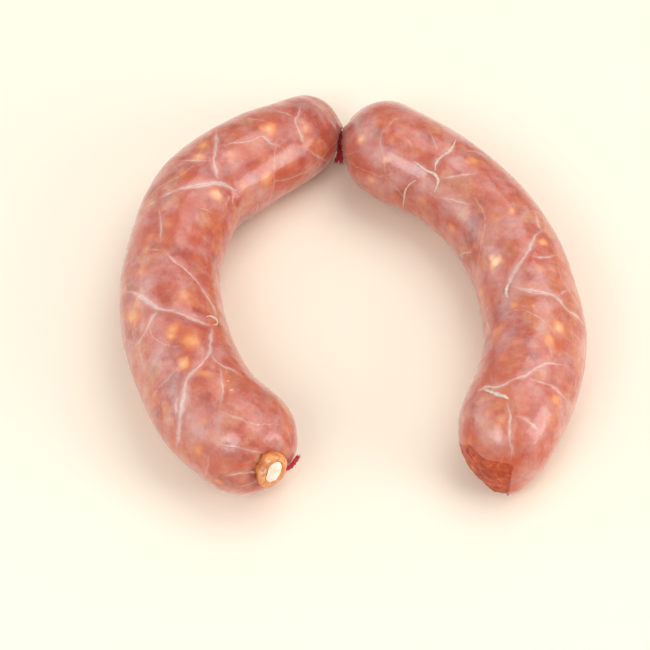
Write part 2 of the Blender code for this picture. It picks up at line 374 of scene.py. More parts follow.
# Fresh hog casing over coarse mince: a moist, thin, cloudy skin. It blurs the lean and the fat
# beneath it, and its wet, finely creased face breaks up the soft reflections.
skinLook = {
    "mince": 6.5,           # pieces of lean and fat, mm
    "bend": 6.0,            # how far their outlines are bent, mm
    "noises": {             # size in mm, detail, roughness and distortion
        "bends": (5.0, 3.0, 0.5, 0.0),
        "lean": (6.5, 4.0, 0.6, 0.5),
        "drift": (17.0, 2.0, 0.5, 0.0),     # slow changes of colour along a link
        "speck": (1.7, 4.0, 0.75, 0.0),
        "cloud": (11.0, 4.0, 0.65, 0.0),
        "grain": (0.8, 4.0, 0.65, 0.0),
        "crease": (1.5, 3.0, 0.5, 0.0),     # fine creases
    },
    "drawnOut": (1.0, 1.0, 0.22),           # the creases run along the link
    "creaseDepths": (0.06, 0.16),           # in the wet film and in the skin below it, mm
    "grainDepth": 0.15,
    "warmth": (0.45, 0.72, 0.0, 0.7),       # a stretch of a pattern, and the shares it gives
    "fatCover": (0.03, 0.5, 0.0, 0.92),
    "cloudy": (0.44, 0.68, 0.04, 0.46),
    "lean": [(0.3, "#8b2814"), (0.42, "#b94122"), (0.54, "#cd6340"), (0.7, "#d68c73")],
    "pieces": [(0.0, "#892c1b"), (0.22, "#bf401c"), (0.45, "#c65a40"), (0.7, "#d57641"),
               (1.0, "#e09a60")],
    "warm": "#cb4c19",
    "speckle": [(0.35, "#d2cbc8"), (0.65, "#ffffff")],
    "fat": [(0.15, "#d35f26"), (0.55, "#ea9345"), (0.9, "#fecf8c")],
    # darker patches, and painted shade at the sinew strands
    "dark": "#7d4c4a",
    "film": "#d6aaa5",
    "vein": "#e2c4b4",
    "sheen": "#dcd2e6",     # a milky rim where the skin turns away
    "stain": "#c4460f",
    "roughness": 0.55,
    "coatRoughness": 0.17,
}


beneath = ("fat", "dark", "stain", "film", "vein")  # what a casing's attributes hold


def makeSkinMaterial():
    made, tree = startMaterial("natural hog casing over coarse mince")
    place = addNode(tree, "TexCoord", {}).outputs["Object"]
    straight = addNode(tree, "Attribute", {}, attribute_name="straight").outputs["Vector"]
    drawnOut = addNode(tree, "VectorMath", {0: straight, 1: skinLook["drawnOut"]},
                       operation="MULTIPLY")
    noises = {}
    for name, (size, detail, roughness, distortion) in skinLook["noises"].items():
        noises[name] = addNode(tree, "TexNoise", {
            "Vector": drawnOut.outputs[0] if name == "crease" else place,
            "Scale": perMetre(size), "Detail": detail, "Roughness": roughness,
            "Distortion": distortion})
    fat, dark, stain, film, vein = (
        addNode(tree, "Attribute", {}, attribute_name=kind).outputs["Fac"] for kind in beneath)
    bent = addNode(tree, "VectorMath", {0: noises["bends"].outputs["Color"],
                                        1: (skinLook["bend"] * mm,) * 3, 2: place},
                   operation="MULTIPLY_ADD")
    cells = addNode(tree, "TexVoronoi", {"Vector": bent.outputs[0], "Smoothness": 0.55,
                                         "Scale": perMetre(skinLook["mince"])},
                    feature="SMOOTH_F1")
    grey = addNode(tree, "SeparateColor", {"Color": cells.outputs["Color"]})
    pieces = addNode(tree, "ValToRGB", {"Fac": grey.outputs[0]}, skinLook["pieces"])
    lean = addNode(tree, "ValToRGB", {"Fac": noises["lean"].outputs["Fac"]}, skinLook["lean"])
    mince = addNode(tree, "Mix", {0: 0.5, 6: lean.outputs[0], 7: pieces.outputs[0]},
                    data_type="RGBA")
    warmth, fatCover, cloudy = (
        addNode(tree, "MapRange", dict(enumerate((pattern, *skinLook[name])))).outputs[0]
        for name, pattern in (("warmth", noises["drift"].outputs["Fac"]), ("fatCover", fat),
                              ("cloudy", noises["cloud"].outputs["Fac"])))
    warmed = addNode(tree, "Mix", {0: warmth, 6: mince.outputs[2],
                                   7: linear(skinLook["warm"])}, data_type="RGBA")
    speckle = addNode(tree, "ValToRGB", {"Fac": noises["speck"].outputs["Fac"]},
                      skinLook["speckle"])
    colour = addNode(tree, "Mix", {0: 0.55, 6: warmed.outputs[2], 7: speckle.outputs[0]},
                     data_type="RGBA", blend_type="MULTIPLY").outputs[2]
    fatColour = addNode(tree, "ValToRGB", {"Fac": fat}, skinLook["fat"])
    clear = addNode(tree, "Math", {0: 1.0, 1: stain}, operation="SUBTRACT")
    thinned = addNode(tree, "Math", {0: cloudy, 1: clear.outputs[0]}, operation="MULTIPLY")
    veil = addNode(tree, "Math", {0: film, 1: thinned.outputs[0]}, operation="MAXIMUM")
    # from the deepest to the outermost; the dark layer also holds painted shade beside the sinew
    # strands
    for share, above in ((fatCover, fatColour.outputs[0]), (dark, linear(skinLook["dark"])),
                         (stain, linear(skinLook["stain"])),
                         (veil.outputs[0], linear(skinLook["film"])),
                         (vein, linear(skinLook["vein"]))):
        colour = addNode(tree, "Mix", {0: share, 6: colour, 7: above},
                         data_type="RGBA").outputs[2]
    shader = addNode(tree, "BsdfPrincipled", {
        "Base Color": colour, "Roughness": skinLook["roughness"], "IOR": 1.4,
        "Subsurface Weight": 0.12, "Subsurface Radius": (1.0, 0.3, 0.15),
        "Subsurface Scale": 0.002, "Coat Weight": 1.0,
        "Coat Roughness": skinLook["coatRoughness"], "Coat IOR": 1.5,
        "Sheen Weight": 0.3, "Sheen Roughness": 0.35, "Sheen Tint": linear(skinLook["sheen"])})
    wet, creased = (
        addNode(tree, "Bump", {"Height": noises["crease"].outputs["Fac"],
                               "Distance": depth * mm, "Strength": 1.0}).outputs["Normal"]
        for depth in skinLook["creaseDepths"])
    tree.links.new(wet, shader.inputs["Coat Normal"])
    endMaterial(tree, noises["grain"].outputs["Fac"], skinLook["grainDepth"], shader, creased)
    return made


# Loose sinew that dried a little in the air: cream, dull, fibrous.
sinewLook = {"colour": [(0.3, "#c9a18f"), (0.7, "#e6cdb8")], "grain": 1.2, "roughness": 0.5}
# Bare mince, coarse and moist, reddened by paprika: grains of lean with fat between.
minceLook = {"colour": [(0.28, "#7a2004"), (0.45, "#a73205"), (0.6, "#c24808"),
                        (0.75, "#e07f26")], "grain": 3.2, "roughness": 0.45}
# The gathered end of casing and fat, stained orange and dried brown at its rim.
stubLook = {"colour": [(0.25, "#974820"), (0.4, "#cf7333"), (0.54, "#e28f4a"),
                       (0.72, "#f4b36a")], "grain": 3.6, "roughness": 0.35}
# White back fat, smooth and waxy.
fatLook = {"colour": [(0.35, "#f2d3b7"), (0.6, "#fbeee2")], "grain": 3.0, "roughness": 0.42}
# Twisted cotton, dyed red, soaked with juice.
stringLook = {"colour": [(0.3, "#8c1620"), (0.7, "#d8343c")], "grain": 0.6, "roughness": 0.75}


def makeMottled(name, look, subsurface, coat, depth):
    # one colour that drifts between its stops with the grain, and a bump of the same grain
    made, tree = startMaterial(name)
    place = addNode(tree, "TexCoord", {}).outputs["Object"]
    grain = addNode(tree, "TexNoise", {"Vector": place, "Scale": perMetre(look["grain"]),
                                       "Detail": 4.0, "Roughness": 0.6, "Distortion": 0.4})
    colour = addNode(tree, "ValToRGB", {"Fac": grain.outputs["Fac"]}, look["colour"])
    shader = addNode(tree, "BsdfPrincipled", {
        "Base Color": colour.outputs[0], "Roughness": look["roughness"], "IOR": 1.4,
        "Subsurface Weight": subsurface, "Subsurface Radius": (1.0, 0.5, 0.3),
        "Subsurface Scale": 0.0015, "Coat Weight": coat, "Coat Roughness": 0.2})
    fine = addNode(tree, "TexNoise", {"Vector": place, "Scale": perMetre(look["grain"] / 3),
                                      "Detail": 3.0})
    endMaterial(tree, fine.outputs["Fac"], depth, shader)
    return made


skin = makeSkinMaterial()
sinew = makeMottled("loose sinew", sinewLook, 0.15, 0.3, 0.1)
bareMince = makeMottled("bare coarse mince", minceLook, 0.05, 0.25, 0.09)
stubMeat = makeMottled("gathered casing stained orange", stubLook, 0.3, 1.0, 0.12)
whiteFat = makeMottled("white back fat", fatLook, 0.3, 0.3, 0.08)
redString = makeMottled("red cotton string", stringLook, 0.05, 0.0, 0.1)
print("materials ready")

# Veins seen in the photograph, as pixels that each runs through, by thickness.
veinWidths = {"thick": 0.95, "plain": 0.72, "fine": 0.5}
leftVeins = {
    "thick": [
        [(216, 128), (216, 146), (214, 161), (219, 182)],
        [(158, 199), (175, 190), (193, 186), (219, 183), (236, 191)],
        [(124, 291), (137, 294), (150, 303), (161, 309), (175, 311), (192, 318), (207, 324),
         (213, 326)],
        [(213, 326), (211, 341), (209, 353), (198, 367), (187, 379), (183, 396), (180, 418),
         (178, 433), (176, 450)],
    ],
    "plain": [
        [(175, 161), (193, 160), (214, 161)],
        [(144, 208), (158, 199)],
        [(301, 102), (299, 113), (296, 120), (301, 135), (306, 148)],
        [(272, 110), (286, 113), (296, 120)],
        [(306, 148), (317, 156), (330, 163)],
        [(319, 160), (320, 170), (314, 178)],
        [(161, 309), (152, 317), (146, 330), (140, 340), (132, 350)],
        [(163, 250), (173, 259), (183, 267), (194, 277), (206, 294), (215, 309), (217, 321)],
        [(209, 353), (219, 363), (233, 370), (247, 379)],
        [(183, 396), (176, 402), (175, 420)],
        [(222, 477), (238, 474), (264, 471)],
    ],
    "fine": [
        [(165, 186), (171, 191), (180, 191)],
        [(231, 196), (226, 206), (229, 212)],
        [(235, 193), (233, 202), (236, 208)],
        [(282, 146), (271, 143), (262, 136), (249, 141), (223, 144)],
        [(219, 146), (232, 143), (243, 137)],
        [(146, 249), (163, 250)],
        [(158, 206), (161, 224), (160, 246)],
        [(123, 337), (132, 343), (140, 340)],
        [(219, 363), (222, 379), (222, 396), (219, 410)],
        [(222, 412), (238, 418), (253, 424), (268, 424), (281, 425)],
        [(216, 445), (238, 448), (261, 453), (273, 454)],
        [(233, 488), (247, 485), (264, 479)],
        [(160, 422), (169, 419), (176, 415)],
        [(198, 208), (207, 210), (214, 214)],
        [(238, 166), (229, 160), (222, 163)],
        [(284, 426), (290, 436), (291, 446)],
    ],
}
rightVeins = {
    "thick": [
        [(455, 140), (452, 149), (443, 155), (436, 162), (435, 171)],
        [(546, 229), (536, 235), (529, 250), (519, 264), (509, 281), (506, 293)],
        [(512, 286), (529, 290), (547, 293), (557, 297), (567, 309), (578, 317), (584, 325)],
    ],
    "plain": [
        [(440, 179), (460, 175), (478, 173)],
        [(529, 255), (543, 257), (560, 254)],
        [(557, 296), (571, 288)],
        [(535, 210), (540, 228), (546, 230)],
        [(473, 392), (484, 388), (500, 386), (513, 379), (526, 375), (537, 367), (550, 363),
         (569, 366)],
        [(528, 378), (544, 383), (554, 387), (561, 394), (569, 403)],
        [(507, 400), (510, 414), (510, 427), (510, 441), (512, 451), (510, 461)],
        [(513, 415), (526, 420), (536, 427), (541, 435)],
    ],
    "fine": [
        [(429, 131), (435, 142), (438, 154)],
        [(459, 150), (478, 152), (490, 159)],
        [(435, 197), (452, 200), (474, 205)],
        [(490, 375), (492, 383)],
        [(343, 128), (341, 138), (342, 146)],
        [(404, 137), (410, 143), (414, 152)],
        [(546, 341), (552, 352), (551, 362)],
        [(566, 404), (571, 414), (572, 424)],
    ],
}
# Strands of sinew on the casing: thickness in millimetres and pixels.
leftSinews = [
    (1.0, [(206, 317), (209, 316), (213, 317), (217, 320), (217, 324), (213, 325)]),
    (0.7, [(258, 203), (257, 208), (255, 213)]),
    (0.6, [(214, 181), (221, 184), (228, 187), (237, 191)]),
]
rightSinews = [
    (1.0, [(414, 161), (420, 166), (427, 171), (434, 174), (438, 180), (437, 186), (434, 193)]),
    (0.8, [(416, 180), (409, 185), (405, 192), (404, 200), (403, 208)]),
    (0.7, [(472, 252), (465, 253), (460, 255), (456, 259)]),
    (1.9, [(483, 389), (489, 391), (496, 394), (503, 396), (509, 399)]),
    (0.8, [(481, 389), (486, 386), (493, 387), (500, 386)]),
    (1.5, [(510, 281), (507, 287), (506, 293), (508, 298)]),
    (0.8, [(456, 138), (454, 144), (449, 150), (441, 157), (436, 163), (435, 171)]),
]
# What shows through the casing, where it is darker (partly as painted shade) and where it is
# stained: pixel, radius in mm and strength.
leftFats = [
    (217, 194, 3.2, 1.0), (133, 315, 4.6, 1.0), (136, 306, 3.0, 0.7), (203, 145, 3.6, 0.6),
    (199, 156, 3.4, 0.7), (231, 155, 3.2, 0.5), (269, 129, 3.4, 0.8), (262, 128, 2.4, 0.6),
    (306, 128, 2.6, 0.5), (183, 173, 3.0, 0.5), (266, 178, 4.2, 0.7), (243, 186, 3.2, 0.5),
    (168, 224, 3.4, 0.45), (150, 237, 3.6, 0.45), (141, 272, 4.2, 0.5), (185, 296, 3.4, 0.45),
    (138, 297, 3.0, 0.5), (173, 330, 4.2, 0.7), (190, 341, 4.8, 0.7), (184, 363, 3.6, 0.8),
    (204, 373, 4.0, 0.5), (192, 303, 3.0, 0.4), (198, 450, 3.6, 0.5), (204, 421, 3.4, 0.4),
    (171, 336, 2.6, 0.8), (218, 481, 3.0, 0.5), (287, 430, 3.6, 0.35), (155, 396, 3.0, 0.35),
    (231, 390, 0.9, 1.0), (228, 381, 0.7, 0.9), (146, 250, 3.0, 0.5), (290, 165, 3.0, 0.35),
]
rightFats = [
    (496, 262, 4.0, 1.0), (492, 258, 2.4, 0.8), (558, 328, 3.4, 0.9), (361, 139, 2.8, 0.8),
    (372, 180, 3.2, 0.6), (473, 161, 4.0, 0.6), (512, 210, 3.0, 0.6), (497, 219, 4.0, 0.4),
    (543, 243, 3.0, 0.7), (541, 269, 3.2, 0.5), (552, 269, 2.6, 0.5), (452, 228, 2.8, 0.6),
    (386, 161, 2.6, 0.5), (392, 140, 3.0, 0.4), (481, 293, 3.6, 0.55), (514, 305, 3.0, 0.5),
    (498, 332, 4.0, 0.6), (550, 340, 3.6, 0.7), (503, 360, 3.4, 0.5), (556, 400, 3.6, 0.6),
    (502, 420, 3.2, 0.5), (488, 414, 3.0, 0.4), (533, 306, 1.0, 1.0), (376, 124, 3.2, 0.4),
    (422, 200, 3.0, 0.4), (470, 440, 3.0, 0.5), (516, 341, 2.4, 0.4), (480, 268, 2.4, 0.3),
]
leftDarks = [
    (228, 172, 2.2, 0.75), (175, 180, 2.6, 0.35), (193, 266, 2.2, 0.3), (240, 385, 4.0, 0.25),
    (276, 398, 3.0, 0.2)]
# Darker patches; the small strong ones at the sinew strands are painted shade, in the slit
# between two strands and along a strand's edge.
rightDarksAndShade = [
    (489, 389, 0.9, 0.9), (504, 290, 0.8, 0.7), (473, 223, 3.4, 0.45), (513, 333, 3.4, 0.4),
    (388, 190, 3.0, 0.2), (554, 382, 1.6, 0.5), (459, 186, 3.0, 0.2)]
leftStains = [
    (141, 236, 9.0, 0.8), (150, 214, 5.0, 0.5), (170, 230, 5.0, 0.6), (166, 245, 5.0, 0.6),
    (243, 178, 4.0, 0.6), (262, 172, 5.0, 0.5), (285, 178, 6.0, 0.4), (196, 202, 4.0, 0.4),
    (204, 192, 4.0, 0.6), (133, 312, 5.0, 0.8), (186, 350, 6.0, 0.6), (180, 333, 5.0, 0.6),
    (200, 415, 5.0, 0.4), (215, 466, 7.0, 0.7), (234, 470, 7.0, 0.7), (150, 270, 5.0, 0.5),
    (270, 125, 5.0, 0.4), (176, 222, 6.0, 0.7), (192, 238, 6.0, 0.6), (185, 214, 6.0, 0.6),
    (290, 180, 7.0, 0.5), (187, 175, 5.0, 0.6), (245, 152, 6.0, 0.5)]
rightStains = [
    (500, 332, 5.0, 0.6), (503, 362, 6.0, 0.7), (560, 375, 5.0, 0.5), (553, 345, 6.0, 0.6),
    (468, 441, 4.0, 0.6), (478, 448, 4.0, 0.7), (500, 452, 4.0, 0.6), (363, 160, 6.0, 0.5),
    (540, 262, 5.0, 0.5), (486, 290, 5.0, 0.6), (470, 165, 5.0, 0.4), (356, 140, 5.0, 0.4),
    (524, 408, 4.0, 0.5), (455, 226, 5.0, 0.5)]
veins = {
    "crease": (0.42, 2.0),  # each vein lies in a shallow valley: depth and half width
    "lineWidth": 0.23,      # a vein shows as two fine walls, this wide
    "wallGap": 0.6,         # half the distance between them
    "sway": 0.35,           # how much a vein wriggles about its route
    "ridge": 0.14,
    "haze": (0.55, 0.8, 1.3),   # strength, half width, and how much a wide vein adds to it
    "hidden": (22, (0.45, 1.0)),    # wandering veins on each link's unseen sides, and sizes
    "seen": (9, (0.12, 0.22)),      # faint ones among those traced
    "steps": (40, 120),     # how long a wandering vein is, in steps of stepLength
    "stepLength": 0.5,
    "turning": 0.09,
    "branching": 0.014,     # the chance of a branch at each step
    "branchTurn": (0.6, 1.1),
    "branchSize": 0.65,
}
patches = {                 # on the unseen sides: how many and what sizes; reach of any, mm
    "fat": (60, (2.4, 4.6), 9),
    "dark": (6, (2.0, 3.4), 8),
    "stain": (14, (4.0, 8.0), 16),
}
sinewForm = {"step": 0.35, "thickness": 0.32, "taper": 9}   # thickness is a share of the width
relief = {
    "mince": (8.0, 0.05),   # length and height of each kind of roughness, mm
    "grain": (2.4, 0.025),
    "folds": 9,             # gathers at each tie
    "foldDepth": 0.9,
    "foldReach": 9.0,
    "collar": (1.4, 4.8, 1.8),  # casing bulging beside the knot: height, radius and width
}


def traceVeins(table, tree):
    # the pixel routes laid on the surface, as (size, points)
    routes = []
    for kind, lines in table.items():
        for line in lines:
            routes.append((veinWidths[kind], traceLine(line, tree)))
    return routes


def traceLine(line, tree):
    hits = [tree.ray_cast(*sightLine(p))[0] for p in smoothLine(line, 1.0)]
    return [hit for hit in hits if hit]


def wanderVeins(tree, verts, hidden, dice, count, sizes):
    # branching lines, over the sides that the photograph doesn't show or over those it does
    routes = []
    spots = [v.co.copy() for v in verts if (facesCamera(v.co, v.normal) < -0.15) == hidden]
    starts = [(dice.choice(spots), dice.uniform(0, 2 * pi), dice.uniform(*sizes))
              for _ in range(count)]
    while starts:
        point, heading, size = starts.pop()
        spot, normal, _, _ = tree.find_nearest(point)
        way = Matrix.Rotation(heading, 3, normal) @ normal.orthogonal().normalized()
        line = [spot]
        for _ in range(dice.randint(*veins["steps"])):
            way = Matrix.Rotation(dice.gauss(0, veins["turning"]), 3, normal) @ way
            spot, normal, _, _ = tree.find_nearest(spot + way * veins["stepLength"] * mm)
            way = (way - way.dot(normal) * normal).normalized()
            if hidden and facesCamera(spot, normal) > 0.1 or spot.z < 0.2 * mm:
                break
            line.append(spot)
            if size > 0.25 and dice.random() < veins["branching"]:
                bend = dice.choice((-1, 1)) * dice.uniform(*veins["branchTurn"])
                branch = Matrix.Rotation(bend, 3, normal) @ way
                first = normal.orthogonal().normalized()
                turn = atan2(branch.dot(normal.cross(first)), branch.dot(first))
                starts.append((spot, turn, veins["branchSize"] * size))
        if len(line) > 8:
            routes.append((size, line))
    return routes


def placeBlobs(table, tree, verts, dice, extra, sizes):
    # those seen in the photograph, and extra ones where it doesn't show the link
    blobs = []
    for x, y, radius, strength in table:
        hit = tree.ray_cast(*sightLine((x, y)))[0]
        if hit:
            blobs.append((hit, radius, strength))
    hidden = [v.co.copy() for v in verts if facesCamera(v.co, v.normal) < 0.05]
    for _ in range(extra):
        blobs.append((dice.choice(hidden), dice.uniform(*sizes), dice.uniform(0.3, 0.9)))
    return blobs


def blobValue(point, blobs, found):
    # the strongest blob at a point, with ragged outlines
    value = 0.0
    ragged = 1 + 0.7 * noise.noise(point / (3.4 * mm)) + 0.22 * noise.noise(point / (1.3 * mm))
    for _, index, distance in found:
        _, radius, strength = blobs[index]
        share = distance / (radius * mm * max(0.3, ragged))
        if share < 1.6:
            value = max(value, strength * exp(-1.5 * share ** 2))
    return value


def makeTree(points):
    tree = KDTree(max(1, len(points)))
    for index, point in enumerate(points):
        tree.insert(point, index)
    tree.balance()
    return tree


def gather(link, point):
    # pleats drawn in by the ties
    rise = 0.0
    for tie in link.ties:
        aside, angle, front = tie.around(point / mm)
        if front and aside < 3 * relief["foldReach"]:
            wave = relief["folds"] * angle + 2.5 * noise.noise(point / (5 * mm))
            rise += (relief["foldDepth"] * (abs(sin(wave / 2)) - 0.6) * min(1.0, aside / 2.5)
                     * exp(-(aside / relief["foldReach"]) ** 2))
        if front and tie is not stubTie:    # the collar stands up behind the knot alone
            height, radius, width = relief["collar"]
            behind = (point.y / mm - tie.base.y) / 5
            rise += height * exp(-((aside - radius) / width) ** 2) * clamped(behind + 0.75)
    return rise


def refineNear(bm, lines):
    # smaller faces along the veins
    tree = makeTree([p for line in lines for p in line])
    for reach in (1.3, 0.75):
        close = {v for v in bm.verts if tree.find(v.co)[2] < reach * mm}
        edges = [e for e in bm.edges if e.verts[0] in close and e.verts[1] in close]
        bmesh.ops.subdivide_edges(bm, edges=edges, cuts=1, use_grid_fill=True)


def lineDistance(point, line, k):
    # distance from the stretches of the line on either side of its point k
    best = 1.0
    for a, b in zip(line[max(k - 1, 0):k + 1], line[max(k, 1):k + 2]):
        spot, part = intersect_point_line(point, a, b)
        spot = a if part < 0 else b if part > 1 else spot
        best = min(best, (point - spot).length)
    return best / mm


def markVeins(bm, routes):
    # how strongly each vertex is in a vein's valley, its haze and its walls
    spots = makeTree([v.co for v in bm.verts])
    places = [v.co.copy() for v in bm.verts]
    valley, film, walls = ([0.0] * len(places) for _ in range(3))
    creaseWidth = veins["crease"][1]
    haze, hazeWidth, hazeGrow = veins["haze"]
    for size, line in routes:
        tree = makeTree(line)
        near = {i for p in line[::3] for _, i, _ in spots.find_range(p, 5.5 * mm)}
        for i in near:
            point = places[i]
            k = tree.find(point)[1]
            wriggle = noise.noise_vector(point / (2.2 * mm)) * veins["sway"] * mm
            distance = lineDistance(point + wriggle, line, k)
            ends = min(1.0, (k + 3) / 14, (len(line) - k + 2) / 14)
            here = size * ends * (0.85 + 0.5 * noise.noise(point / (6 * mm)))
            valley[i] = max(valley[i], here * exp(-(distance / creaseWidth) ** 2))
            spread = hazeWidth + hazeGrow * here
            film[i] = max(film[i], min(0.7, haze * here * exp(-(distance / spread) ** 2)))
            gap = veins["wallGap"] * max(0.0, here - 0.35)
            wall = exp(-((distance - gap) / veins["lineWidth"]) ** 2)
            patchy = 0.85 + 0.6 * noise.noise(point / (2.0 * mm))
            walls[i] = max(walls[i], (0.3 + 0.5 * here) * wall * patchy * ends)
    return valley, film, [min(0.68, w) for w in walls]


def dressSkin(bm, link, routes, blobs):
    # pushes the skin in and out, and writes what lies beneath it for the material
    layers = {kind: bm.verts.layers.float.new(kind) for kind in beneath}
    bm.verts.ensure_lookup_table()
    valley, film, walls = markVeins(bm, routes)
    trees = {kind: makeTree([place for place, _, _ in blobs[kind]]) for kind in patches}
    bm.normal_update()
    minceLength, minceHeight = relief["mince"]
    grainLength, grainHeight = relief["grain"]
    moves = []
    for i, vert in enumerate(bm.verts):
        point = vert.co
        values = {"film": film[i], "vein": walls[i]}
        for kind, (_, _, reach) in patches.items():
            near = trees[kind].find_range(point, reach * mm)
            values[kind] = blobValue(point, blobs[kind], near)
        if link is right:
            beside = bareness(point) / tear["stain"] + 0.4 * noise.noise(point / (3 * mm))
            values["stain"] = max(values["stain"], 0.75 * exp(-beside ** 2))
        values["stain"] *= 0.8
        for kind, value in values.items():
            vert[layers[kind]] = value
        moves.append(minceHeight * noise.noise(point / (minceLength * mm))
                     + grainHeight * noise.noise(point / (grainLength * mm))
                     + 0.15 * values["fat"] - veins["crease"][0] * valley[i]
                     + veins["ridge"] * walls[i] + gather(link, point))
    for vert, rise in zip(bm.verts, moves):
        vert.co += vert.normal * rise * mm
        vert.co.z = max(vert.co.z, 0.0)


def layStrand(bm, tree, line, width):
    # a flat strand along a line, half sunk in the surface
    if len(line) < 3:
        return
    rests = [tree.find_nearest(p)[:2] for p in line]
    last = len(rests) - 1

    def place(row, angle):
        spot, normal = rests[row]
        before, after = rests[max(row - 1, 0)][0], rests[min(row + 1, last)][0]
        along = (after - before).normalized()
        side = along.cross(normal).normalized()
        ends = clamped(min(row, last - row) / sinewForm["taper"])
        grow = sqrt(ends) * (1 + 0.7 * noise.noise(spot / (1.6 * mm)))
        aside = width / 2 * grow * cos(angle) * side
        above = sinewForm["thickness"] * width * grow * sin(angle) * normal
        return spot / mm + aside + above

    rollSheet(bm, last, 8, place)


def thinOut(line):
    kept = [line[0]]
    for point in line[1:]:
        if (point - kept[-1]).length > sinewForm["step"] * mm:
            kept.append(point)
    return kept


def makeSinews(name, table, baseTree, tree, node):
    bm = bmesh.new()
    for width, line in table:
        layStrand(bm, tree, thinOut(traceLine(line, baseTree)), width)
    finishPiece(name, bm, sinew, node)


def makeSkin(bm, link, veinTable, patchTables, seed):
    # returns the bare surface and the dressed one, for what lies on them
    dice = random.Random(seed)
    rollLink(bm, link)
    base = BVHTree.FromBMesh(bm)
    routes = traceVeins(veinTable, base)
    routes += wanderVeins(base, bm.verts, True, dice, *veins["hidden"])
    routes += wanderVeins(base, bm.verts, False, dice, *veins["seen"])
    blobs = {}
    for (kind, (extra, sizes, _)), table in zip(patches.items(), patchTables):
        blobs[kind] = placeBlobs(table, base, bm.verts, dice, extra, sizes)
    refineNear(bm, [line for _, line in routes])
    if link is right:
        refineTear(bm)
    dressSkin(bm, link, routes, blobs)
    bm.normal_update()
    print("veins traced, faces:", len(bm.faces))
    return base, BVHTree.FromBMesh(bm)


def makeLeftLink():
    bm = bmesh.new()
    base, surface = makeSkin(bm, left, leftVeins, (leftFats, leftDarks, leftStains), 11)
    finishPiece("leftSkin", bm, skin, "link_left")
    makeSinews("leftSinews", leftSinews, base, surface, "link_left")


# The right link's casing is torn open at its free end. The tear's upper edge is given as x and z
# in millimetres, seen from the front, and back is how far back in y it reaches.
tear = {
    "profile": [(34.2, 14.0), (44.5, 17.5), (47.5, 24.3), (49.5, 25.6), (52.6, 25.0),
                (55.4, 25.3), (59.3, 26.2), (65.0, 26.0)],
    "back": -66.1,
    "stain": 3.0,           # how far the casing beside the tear is stained
    "ragged": 0.08,
    "crumb": (4.4, 0.8),    # size and height of the coarse crumbs and of the fine ones
    "fineCrumb": (1.8, 0.12),
    "under": 0.16,          # how far the bare mince lies below the casing's outside
}


def bareness(point):
    # how deep inside the tear a point lies, in millimetres; below 0 outside it
    x, y, z = point / mm
    profile = tear["profile"]
    depth = min(tear["back"] - y, x - profile[0][0], profile[-1][0] - x)
    for (xa, za), (xb, zb) in zip(profile, profile[1:]):
        if xa <= x <= xb:
            edge = za + (zb - za) * (x - xa) / (xb - xa)
            slope = (zb - za) / (xb - xa)
            depth = min(depth, (edge - z) / sqrt(1 + slope * slope))
    return depth


def makeRightCasing():
    bm = bmesh.new()
    base, surface = makeSkin(bm, right, rightVeins, (rightFats, rightDarksAndShade, rightStains), 29)
    openTear(bm)
    finishPiece("rightCasing", bm, skin, "casing_right")
    makeSinews("rightSinews", rightSinews, base, surface, "casing_right")


def refineTear(bm):
    for reach in (1.6, 0.9):
        edges = [e for e in bm.edges if max(abs(bareness(v.co)) for v in e.verts) < reach]
        bmesh.ops.subdivide_edges(bm, edges=edges, cuts=1, use_grid_fill=True)


def cutAcross(bm, point, normal, lowest, highest):
    # splits the faces near a stretch of the tear, from one x to another
    faces = [f for f in bm.faces if lowest - 1 < f.calc_center_median().x / mm < highest + 1
             and abs(bareness(f.calc_center_median())) < 2]
    parts = dict.fromkeys(part for f in faces for part in (*f.verts, *f.edges))
    bmesh.ops.bisect_plane(bm, geom=faces + list(parts), dist=1e-7, plane_co=point * mm,
                           plane_no=normal.normalized())


def openTear(bm):
    # takes the torn-out piece away and gives the edge its thickness
    profile = tear["profile"]
    for x, _ in (profile[0], profile[-1]):
        cutAcross(bm, Vector((x, 0, 0)), Vector((1, 0, 0)), x, x)
    cutAcross(bm, Vector((0, tear["back"], 0)), Vector((0, 1, 0)), profile[0][0], profile[-1][0])
    for (xa, za), (xb, zb) in zip(profile, profile[1:]):
        cutAcross(bm, Vector((xa, 0, za)), Vector((za - zb, 0, xb - xa)), xa, xb)
    gone = [f for f in bm.faces if bareness(f.calc_center_median()) > 0]
    bmesh.ops.delete(bm, geom=gone, context="FACES")
    bm.normal_update()
    rim = [e for e in bm.edges if e.is_boundary]
    for vert in {v for e in rim for v in e.verts}:
        vert.co += noise.noise_vector(vert.co / (0.9 * mm)) * tear["ragged"] * mm
    bm.normal_update()
    normals = {v: v.normal.copy() for e in rim for v in e.verts}
    made = bmesh.ops.extrude_edge_only(bm, edges=rim)["geom"]
    inner = [g for g in made if isinstance(g, bmesh.types.BMVert)]
    tree = makeTree([v.co for v in normals])
    edge = list(normals.values())
    for vert in inner:
        vert.co -= edge[tree.find(vert.co)[1]] * form["casing"] * mm
        vert.co.z = max(vert.co.z, 0.0)


